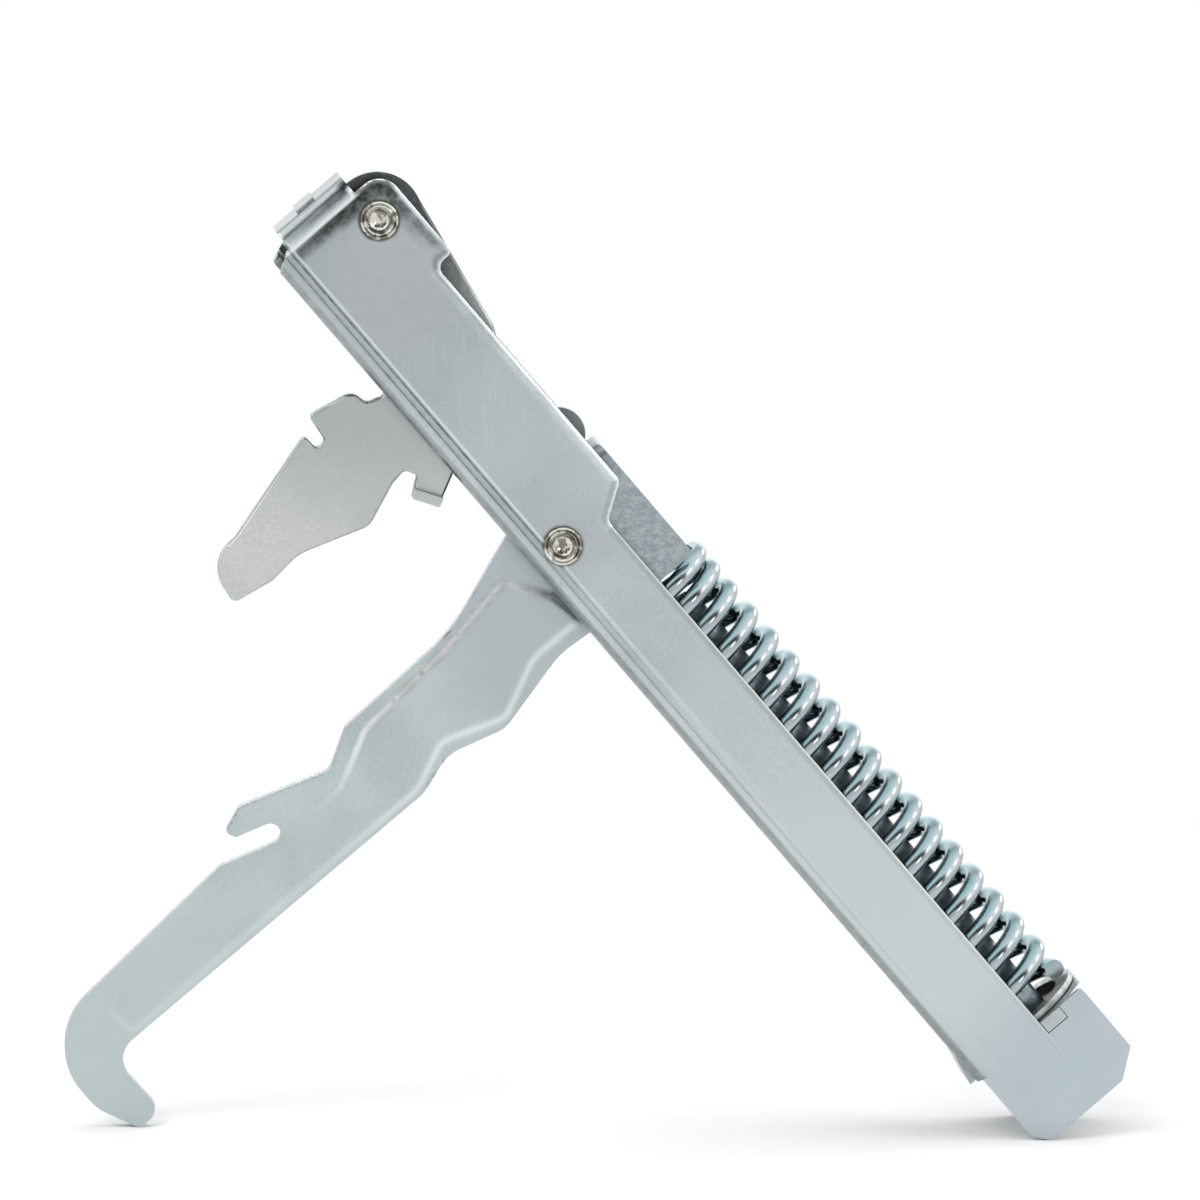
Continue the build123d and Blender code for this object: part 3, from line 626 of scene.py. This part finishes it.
def roll_rim(bm, rim, sizes):
    """Draws the walls down towards the head's rim, as the die does, and more at its far end."""
    for vert in bm.verts:
        in_walls = abs(vert.co.y) >= 9 * MM
        if in_walls:
            gap = rim.find((vert.co.x, 0, vert.co.z))[2]
            wide = max(0.0, 1 - gap / (2.4 * sizes.edge_roll))
            near = max(0.0, 1 - gap / sizes.edge_roll)
            end = min(1.0, max(0.0, (-45 - in_hinge(vert.co).x) / 12))
            drop = sizes.edge_drop * (near * near * (1 - 0.4 * end) + 0.9 * wide * wide * end)
            vert.co.y -= math.copysign(drop, vert.co.y)


class HINGE_OT_channel(bpy.types.Operator):
    """Finish the channel: broken edges, a rolled rim round its head, and cloudy zinc plate"""
    bl_idname = "hinge.channel"
    bl_label = "Channel"

    def execute(self, context):
        sizes, colours = context.scene.hinge_sizes, context.scene.hinge_colours
        bm = merged_copy("channel")
        half = max(abs(vert.co.y) for vert in bm.verts)
        rim = rim_tree(bm, half)
        # Fine cuts where the rim rolls over: at the head's end, its notch and its last step
        fine = 0.45
        cut_at(bm, ALONG, [-69.85 + fine * i for i in range(11)])
        cut_at(bm, ALONG, [-55 + fine * i for i in range(16)])
        cut_at(bm, ALONG, [-7 + fine * i for i in range(24)])
        cut_at(bm, OUT, [18.35 - fine * i for i in range(31)])
        roll_rim(bm, rim, sizes)
        # Cuts beside the joggle's creases and the low wall's edge, where the painted shade and
        # highlights end
        cut_at(bm, OUT, [-1.7, -1.95, -2.6, -2.9, -3.6, -3.9, 8.4, 8.0, 7.4])
        round_edges(bm, sharp_edges(bm), sizes.edge_round)
        grime = bm.verts.layers.float.new("grime")
        # Outside, the walls get painted shade, painted dark reflection, grease and painted highlights
        for vert in bm.verts:
            outside = abs(vert.co.y) > 11.6 * MM
            if outside:
                gap = rim.find((vert.co.x, 0, vert.co.z))[2] / MM
                vert[grime] = wall_grime(in_hinge(vert.co), gap)
            else:
                # Inside the channel the walls get painted shade
                vert[grime] = 0.4
        head, low_wall, old_grease = linear("#b9bec1"), linear("#bfc7c7"), linear("#3f4443")
        # Dark rings round the rivet heads: partly painted shadow under the heads, partly grease smudges
        main_halo, stay_halo = linear("#615f57"), linear("#5c5c58")
        stay_rivet = hinge_point(STAY_PLACE.x, NEAR_FACE, STAY_PLACE.y)
        sheet = bright_zinc_sheet(
            "Bright zinc plate on rolled sheet", colours.zinc_pale, colours.zinc_dull, TILT,
            patches=((hinge_point(-54, 0, 9), 0.008, 0.032, head, 0.3),
                     (hinge_point(88, 0, 2), 0.020, 0.050, low_wall, 0.2),
                     (hinge_point(130, 0, 8), 0.006, 0.032, colours.zinc_blue, 0.3),
                     (hinge_point(0, NEAR_FACE, 0), 0.0033, 0.0042, main_halo, 1.3),
                     (stay_rivet, 0.0034, 0.0042, stay_halo, 1.1)),
            rubs=(hinge_point(-33, NEAR_FACE, 4), 0.006, 0.018), grime=old_grease)
        placed("pressed_channel", bm, [sheet], "channel_body", "channel")
        return {"FINISHED"}


class HINGE_OT_hook_arm(bpy.types.Operator):
    """Finish the hook arm: a soft pressed panel, broken edges and punched sides"""
    bl_idname = "hinge.hook_arm"
    bl_label = "Hook arm"

    def execute(self, context):
        sizes, colours = context.scene.hinge_sizes, context.scene.hinge_colours
        bm = merged_copy("hook_arm")
        mark_cut_sides(bm)
        # The panel stands on the front face only. Its own walls become the slope.
        front = -max(vert.co.y for vert in bm.verts)
        walls = [face for face in bm.faces
                 if abs(face.normal.y) < 0.2 and all(vert.co.y < front + 1e-6 for vert in face.verts)]
        outline = panel_outline(walls, front)
        cut_edges = [edge for edge in sharp_edges(bm)
                     if not any(face in walls for face in edge.link_faces)]
        round_edges(bm, cut_edges, sizes.edge_round)
        soften_panel(bm, outline, front, sizes.panel_slope)
        # The nose, deep in the channel, is painted darker: painted shade with some grease. The
        # attribute on the arm holds only the panel slope's painted highlight, so the grease colour does
        # not show.
        nose, upper_arm, hook = linear("#848e90"), linear("#b0b9bb"), linear("#b8c3c3")
        plate = bright_zinc_sheet(
            "Bright zinc plate on pickled plate", colours.arm_pale, colours.arm_dull,
            TILT - math.pi / 2, rough=(0.30, 0.40),
            patches=((hinge_point(-14.1, 0, 12), 0.005, 0.010, nose, 0.9),
                     (hinge_point(3, 0, -14), 0.006, 0.024, upper_arm, 0.2),
                     (hinge_point(12, 0, -116), 0.012, 0.045, hook, 0.2)),
            grime=colours.grease)
        side = punched_edge("Punched side, zinc plated", colours.zinc_pale, colours.zinc_dull)
        placed("plated_hook_arm", bm, [plate, side], "arm_body", "hook_arm")
        return {"FINISHED"}


class HINGE_OT_stay_lever(bpy.types.Operator):
    """Finish the stay lever: broken edges and punched sides"""
    bl_idname = "hinge.stay_lever"
    bl_label = "Stay lever"

    def execute(self, context):
        sizes, colours = context.scene.hinge_sizes, context.scene.hinge_colours
        bm = merged_copy("stay_lever")
        mark_cut_sides(bm)
        round_edges(bm, sharp_edges(bm, 50), sizes.edge_round)
        # The lever is darker in a wide round about its pivot. At the hub, where it lies behind the near
        # wall, it is darker still: painted shade with some grease.
        upper_lever = linear("#adb2b2")
        plate = bright_zinc_sheet(
            "Bright zinc plate on coined plate", colours.lever_pale, colours.lever_dull,
            TILT - math.pi / 2, rough=(0.24, 0.34),
            patches=((STAY_PIVOT, 0.036, 0.072, upper_lever, 0.3),
                     (STAY_PIVOT, 0.012, 0.036, colours.grease, 0.9)))
        side = punched_edge("Punched side of the lever", colours.zinc_pale, colours.zinc_dull)
        placed("plated_stay_lever", bm, [plate, side], "lever_body", "stay_lever")
        return {"FINISHED"}


class HINGE_OT_slider(bpy.types.Operator):
    """Finish the slider and the spring's seat: broken edges and dull greased steel"""
    bl_idname = "hinge.slider"
    bl_label = "Slider and seat"

    def execute(self, context):
        sizes, colours = context.scene.hinge_sizes, context.scene.hinge_colours
        dull = greased_steel(
            "Greased plate of the slider", linear("#aab3b6"), linear("#939da1"), patch=0.7)
        clean = bright_zinc_sheet(
            "Bright zinc plate on the seat", colours.zinc_pale, colours.zinc_dull, TILT)
        for node, name, body, slot, finish in (
                ("slider", "folded_slider", "slider_body", "slider_sheet", dull),
                ("spring_seat", "seat_plate", "channel_body", "channel_sheet", clean)):
            bm = merged_copy(node)
            round_edges(bm, sharp_edges(bm), sizes.edge_round)
            placed(name, bm, [finish], body, node)
        return {"FINISHED"}


class HINGE_OT_spring(bpy.types.Operator):
    """Wind the compression spring: closed end turns, open turns between, ground flat ends"""
    bl_idname = "hinge.spring"
    bl_label = "Spring"

    def execute(self, context):
        sizes, colours = context.scene.hinge_sizes, context.scene.hinge_colours
        solid = [in_hinge(vert.co) * MM for vert in frame["nodes"]["spring"].data.vertices]
        low, high = min(point.x for point in solid), max(point.x for point in solid)
        bottom, top = min(point.z for point in solid), max(point.z for point in solid)
        # The coil stands prouder of the walls than the solid does
        proud = 0.3 * MM
        axis_height = (top + bottom) / 2 + proud
        coil_radius = (top - bottom - sizes.wire) / 2 + proud
        # The wire starts a quarter turn early and is ground flat there. One closed turn and one
        # that opens come first, and the rest are even up to the washer.
        grind, washer, play = 0.4 * MM, 1.2 * MM, 0.05 * MM
        lead, closed, closing, turns = 0.25, 3.8 * MM, 4.7 * MM, 16
        steps = 48
        first_top = low + grind + lead * closed
        last_top = high - washer - sizes.wire / 2 - play
        pitch = (last_top - first_top - closed - closing) / turns
        bm = bmesh.new()
        ring_place = (Matrix.Translation((low + grind, 0, axis_height))
                      @ Matrix.Rotation(-lead * 2 * math.pi, 4, "X")
                      @ Matrix.Translation((0, 0, coil_radius)))
        ring = bmesh.ops.create_circle(
            bm, cap_ends=False, radius=sizes.wire / 2, segments=20,
            matrix=ring_place @ Matrix.Rotation(math.pi / 2, 4, "X"))
        geom = ring["verts"] + bm.edges[:]
        for count, rise in ((lead, closed), (1, closed), (1, closing), (turns, pitch)):
            wound = bmesh.ops.spin(
                bm, geom=geom, cent=(0, 0, axis_height), axis=(1, 0, 0), angle=2 * math.pi * count,
                dvec=(rise / steps, 0, 0), steps=round(steps * count), use_merge=False,
                use_duplicate=False)
            geom = wound["geom_last"]
        bmesh.ops.bisect_plane(
            bm, geom=bm.verts[:] + bm.edges[:] + bm.faces[:], dist=1e-7,
            plane_co=(low, 0, 0), plane_no=(-1, 0, 0), clear_outer=True)
        bmesh.ops.holes_fill(bm, edges=[edge for edge in bm.edges if edge.is_boundary], sides=0)
        bmesh.ops.recalc_face_normals(bm, faces=bm.faces)
        bm.normal_update()
        # Painted shade: how far each point of the wire faces the channel's head
        oil = bm.verts.layers.float.new("oil")
        for vert in bm.verts:
            vert[oil] = step(-vert.normal.x, 0.1, 0.8)
        bmesh.ops.transform(bm, matrix=HINGE, verts=bm.verts)
        wire = oiled_spring_wire(
            "Oiled spring wire, zinc plated", colours.spring_bright, colours.spring_blue)
        coil = placed("wound_spring", bm, [wire], "channel_body", "spring")
        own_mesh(coil)

        # The flat washer between the spring and its seat: its section, spun round the axis
        bm = bmesh.new()
        inner = coil_radius - sizes.wire / 2 + 0.3 * MM
        outer = coil_radius + sizes.wire / 2
        seat_gap = 0.02 * MM
        corners = [bm.verts.new((high - gap, 0, axis_height + radius)) for gap, radius in (
            (washer, inner), (washer, outer), (seat_gap, outer), (seat_gap, inner))]
        sides = [bm.edges.new((corners[i - 1], corners[i])) for i in range(4)]
        bmesh.ops.spin(bm, geom=corners + sides, cent=(0, 0, axis_height), axis=(1, 0, 0),
                       angle=2 * math.pi, steps=64, use_merge=True, use_duplicate=False)
        bmesh.ops.recalc_face_normals(bm, faces=bm.faces)
        round_edges(bm, sharp_edges(bm, 60), 0.15 * MM)
        bmesh.ops.transform(bm, matrix=HINGE, verts=bm.verts)
        disc = greased_steel("Punched washer", linear("#b9bcba"), linear("#9da19f"), patch=1.2)
        placed("end_washer", bm, [disc], "channel_body", "spring")
        return {"FINISHED"}


class HINGE_OT_rivets(bpy.types.Operator):
    """Finish the rivets, their spacer tubes and the spring's guide rod"""
    bl_idname = "hinge.rivets"
    bl_label = "Rivets and rod"

    def execute(self, context):
        colours = context.scene.hinge_colours
        nickel = nickel_rivet("Peened nickel plate", colours.nickel, brown=linear("#7c7a70"))
        tube = greased_steel(
            "Cut tube of the spacers", linear("#8f979a"), linear("#5d6668"), patch=4)
        # The rod's dark tones are painted shade inside the spring, with grease smears
        rod = greased_steel("Drawn rod", linear("#8a969b"), linear("#5d686d"), patch=3)
        for node, name, slot, material in (
                ("main_rivet", "peened_main_rivet", "rivet_steel", nickel),
                ("stay_rivet", "peened_stay_rivet", "rivet_steel", nickel),
                ("main_spacers", "main_tubes", "rivet_steel", tube),
                ("stay_spacers", "stay_tubes", "rivet_steel", tube),
                ("guide_rod", "drawn_rod", "rod_steel", rod)):
            bm = merged_copy(node)
            round_edges(bm, sharp_edges(bm, 50), 0.08 * MM)
            placed(name, bm, [material], "channel_body", node)
        return {"FINISHED"}


def white_room():
    """The world: white to the eye, dimmer as light, and in the metal's mirror a room with dark and
    bright parts."""
    world = bpy.data.worlds.new("White room")
    world.use_nodes = True
    tree = world.node_tree
    tree.nodes.clear()
    ray = add_node(tree, "ShaderNodeLightPath")
    seen = add_node(tree, "ShaderNodeMath", {"operation": "MAXIMUM"}, {
        0: (ray, "Is Camera Ray"), 1: (ray, "Is Transmission Ray")})
    # Above the horizon the metal sees a white room with a dark gap round the lens, brighter
    # sides and a dimmer back. Each level goes with its angle from the lens in degrees.
    levels = ((18, 1.0), (27, 0.12), (44, 0.12), (58, 1.5), (112, 1.5), (135, 0.9), (160, 1.7))
    brightest = 1.7
    way = add_node(tree, "ShaderNodeTexCoord")
    split = add_node(tree, "ShaderNodeSeparateXYZ", None, {"Vector": (way, "Generated")})
    behind = add_node(tree, "ShaderNodeMath", {"operation": "ARCCOSINE"}, {0: (split, "Y")})
    off_lens = add_node(tree, "ShaderNodeMapRange", None, {
        "Value": (behind, "Value"), "From Min": math.pi, "From Max": 0.0})
    ring = add_node(tree, "ShaderNodeValToRGB", None, {"Fac": (off_lens, "Result")})
    ring.color_ramp.elements[0].color = (1 / brightest,) * 3 + (1,)
    ring.color_ramp.elements[1].color = (1, 1, 1, 1)
    for degrees, level in levels:
        ring.color_ramp.elements.new(degrees / 180).color = (level / brightest,) * 3 + (1,)
    above = add_node(tree, "ShaderNodeMapRange", None, {
        "Value": (split, "Z"), "From Min": 0.03, "From Max": 0.18})
    ring_light = add_node(tree, "ShaderNodeMath", {"operation": "MULTIPLY_ADD"}, {
        0: (ring, "Color"), 1: brightest, 2: -1.0})
    mirrored = add_node(tree, "ShaderNodeMath", {"operation": "MULTIPLY_ADD"}, {
        0: (ring_light, "Value"), 1: (above, "Result"), 2: 1.0})
    # Four small windows at the right, about 14 degrees across with soft edges
    pane_edge, pane_core = math.cos(math.radians(9)), math.cos(math.radians(5))
    windows = ((0.74, -0.48, 0.47), (0.83, 0.05, 0.55), (0.63, 0.68, 0.375), (0.45, -0.865, 0.21))
    for window in windows:
        towards = add_node(tree, "ShaderNodeVectorMath", {"operation": "DOT_PRODUCT"}, {
            0: (way, "Generated"), 1: tuple(Vector(window).normalized())})
        pane = add_node(tree, "ShaderNodeMapRange", None, {
            "Value": (towards, "Value"), "From Min": pane_edge, "From Max": pane_core, "To Max": 4.0})
        mirrored = add_node(tree, "ShaderNodeMath", {"operation": "ADD"}, {
            0: (mirrored, "Value"), 1: (pane, "Result")})
    # As light the room is about half as strong as the white that the camera sees
    strength = add_node(tree, "ShaderNodeMapRange", None, {
        "Value": (seen, "Value"), "To Min": 0.55, "To Max": 1.0})
    strength = add_node(tree, "ShaderNodeMix", {"data_type": "FLOAT"}, {
        "Factor": (ray, "Is Glossy Ray"), 2: (strength, "Result"), 3: (mirrored, "Value")})
    light = add_node(tree, "ShaderNodeBackground", None, {
        "Color": (1, 1, 1, 1), "Strength": (strength, 0)})
    add_node(tree, "ShaderNodeOutputWorld", None, {"Surface": (light, "Background")})
    return world


def long_lens_camera(sizes):
    """The photograph is 1200 pixels wide at about 5.68 pixels a millimetre, and the main pivot
    stands 42 pixels left of its middle and 62 above."""
    distance, pixel = 1.3, MM / 5.683
    width, left, above_middle = 1200 * pixel, 42.3 * pixel, 61.6 * pixel
    camera = bpy.data.objects.new("camera", bpy.data.cameras.new("camera"))
    camera.data.lens = camera.data.sensor_width * distance / width
    camera.data.clip_start = 0.01
    turn, rise = sizes.view_turn, sizes.view_rise
    back = Vector((-math.sin(turn) * math.cos(rise), -math.cos(turn) * math.cos(rise), math.sin(rise)))
    facing = back.to_track_quat("Z", "Y") @ Matrix.Rotation(sizes.view_roll, 3, "Z").to_quaternion()
    middle = PIVOT + facing @ Vector((left, -above_middle, 0))
    camera.rotation_euler = facing.to_euler()
    camera.location = middle + back * distance
    return camera


class HINGE_OT_stage(bpy.types.Operator):
    """Set the floor, the lamps, the world and the camera"""
    bl_idname = "hinge.stage"
    bl_label = "Stage"

    def execute(self, context):
        scene = context.scene
        sizes, colours = scene.hinge_sizes, scene.hinge_colours
        bm = bmesh.new()
        bmesh.ops.create_grid(bm, x_segments=1, y_segments=1, size=6.0)
        floor_mesh = bpy.data.meshes.new("floor")
        bm.to_mesh(floor_mesh)
        bm.free()
        floor_mesh.materials.append(pale_paper("Matt white paper", colours.paper))
        floor = bpy.data.objects.new("floor", floor_mesh)
        scene.collection.objects.link(floor)

        for name, place, size, power in (
                ("key", (-0.9, -1.1, 1.3), 1.0, 16), ("fill", (1.2, -0.9, 0.8), 1.2, 7),
                ("top", (0.1, 0.3, 1.6), 1.4, 12)):
            lamp = bpy.data.lights.new(name, "AREA")
            lamp.shape, lamp.size, lamp.energy = "SQUARE", size, power
            holder = bpy.data.objects.new(name, lamp)
            holder.location = place
            towards_hinge = Vector((0, 0, 0.08)) - Vector(place)
            holder.rotation_euler = towards_hinge.to_track_quat("-Z", "Y").to_euler()
            # In the metal's mirror the world's windows stand for the lamps
            holder.visible_glossy = False
            scene.collection.objects.link(holder)

        scene.world = white_room()
        scene.view_settings.view_transform = "Standard"
        camera = long_lens_camera(sizes)
        scene.collection.objects.link(camera)
        scene.camera = camera
        return {"FINISHED"}


class HINGE_PT_panel(bpy.types.Panel):
    """The sizes and colours, and the steps that build the hinge"""
    bl_idname = "HINGE_PT_panel"
    bl_label = "Oven door hinge"
    bl_space_type = "VIEW_3D"
    bl_region_type = "UI"
    bl_category = "Hinge"

    def draw(self, context):
        for group in (context.scene.hinge_sizes, context.scene.hinge_colours):
            box = self.layout.box()
            for name in group.__annotations__:
                box.prop(group, name)
        for operator in OPERATORS:
            self.layout.operator(operator.bl_idname)


OPERATORS = (HINGE_OT_channel, HINGE_OT_hook_arm, HINGE_OT_stay_lever, HINGE_OT_slider,
             HINGE_OT_spring, HINGE_OT_rivets, HINGE_OT_stage)
CLASSES = (HingeSizes, HingeColours) + OPERATORS + (HINGE_PT_panel,)


def register():
    for cls in CLASSES:
        bpy.utils.register_class(cls)
    bpy.types.Scene.hinge_sizes = bpy.props.PointerProperty(type=HingeSizes)
    bpy.types.Scene.hinge_colours = bpy.props.PointerProperty(type=HingeColours)


def unregister():
    del bpy.types.Scene.hinge_colours
    del bpy.types.Scene.hinge_sizes
    for cls in reversed(CLASSES):
        bpy.utils.unregister_class(cls)


def main():
    register()
    for operator in OPERATORS:
        getattr(bpy.ops.hinge, operator.bl_idname.split(".")[1])()


if __name__ == "__main__":
    main()
